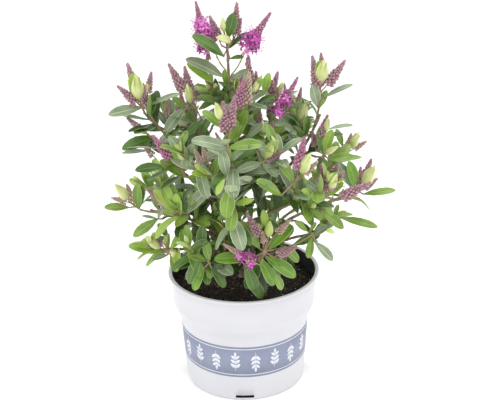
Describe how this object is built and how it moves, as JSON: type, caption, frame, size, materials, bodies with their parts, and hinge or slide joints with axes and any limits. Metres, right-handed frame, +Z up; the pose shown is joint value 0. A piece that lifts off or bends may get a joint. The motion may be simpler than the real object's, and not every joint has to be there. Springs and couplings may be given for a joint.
{
  "type": "potted hebe shrub",
  "caption": "Young hebe shrub with narrow leaves, pale cupped shoot tips and tapering flower spikes, growing in a round white nursery pot.",
  "frame": {"origin": "centre of the pot's flat underside, on which it stands", "axes": "+Z up along the pot's axis, -Y towards the front of the plant, +X to its right seen from the front"},
  "size_m": [0.3156, 0.2681, 0.4358],
  "materials": {
    "white_plastic": "smooth semi-matt white polypropylene, black inside",
    "printed_band": "slate blue printed band with pale leaf sprigs",
    "potting_soil": "moist dark peat with bark crumbs and white perlite",
    "bark": "grey-brown bark ringed with old leaf scars",
    "green_stem": "young green stem flushed purple",
    "mature_leaf": "leathery dark green, paler beneath, fine pale edge",
    "young_leaf": "leathery fresh green, paler beneath",
    "shoot_tip": "smooth pale yellow-green cupped leaf pairs",
    "flower_bud": "closed buds, dull purple-pink with buff calyx",
    "blossom": "open magenta-purple florets"
  },
  "bodies": {
    "root": {"pot": "white_plastic", "soil": "potting_soil", "trunk": "bark", "bough_crest_left": "green_stem", "bough_crest_right": "green_stem", "bough_upper_left": "bark", "bough_upper_right": "bark", "bough_left_top": "bark", "bough_left_inner": "bark", "bough_left_mid": "bark", "bough_centre_left": "bark", "bough_centre_front": "bark", "bough_centre_right": "bark", "bough_right_top": "bark", "bough_right_outer": "bark", "bough_right_tip": "bark", "bough_right_front": "bark", "bough_right_low": "bark", "bough_left_low_tip": "bark", "bough_left_low": "bark", "bough_left_bottom": "bark", "bough_front_left_low": "bark", "bough_front_low": "bark", "bough_front_mid": "bark", "bough_back_top": "bark", "bough_back_left": "bark", "bough_back_right": "bark", "bough_back_low_left": "bark", "bough_back_low": "bark", "bough_back_low_right": "bark", "foliage_crest_left": "blossom", "foliage_crest_right": "blossom", "foliage_crest_tip": "shoot_tip", "foliage_upper_left": "young_leaf", "foliage_upper_right": "young_leaf", "foliage_upper_mid": "young_leaf", "foliage_left_top": "young_leaf", "foliage_left_inner": "young_leaf", "foliage_left_mid": "young_leaf", "foliage_centre_left": "young_leaf", "foliage_centre_front": "young_leaf", "foliage_centre_right": "young_leaf", "foliage_right_top": "young_leaf", "foliage_right_mid": "young_leaf", "foliage_right_outer": "young_leaf", "foliage_right_tip": "mature_leaf", "foliage_right_front": "young_leaf", "foliage_right_low": "mature_leaf", "foliage_left_low_tip": "mature_leaf", "foliage_left_low": "mature_leaf", "foliage_left_bottom": "mature_leaf", "foliage_front_left_low": "mature_leaf", "foliage_front_low": "mature_leaf", "foliage_front_mid": "mature_leaf", "foliage_back_top": "young_leaf", "foliage_back_left": "young_leaf", "foliage_back_right": "young_leaf", "foliage_back_low_left": "mature_leaf", "foliage_back_low": "mature_leaf", "foliage_back_low_right": "mature_leaf"}
  },
  "joints": []
}
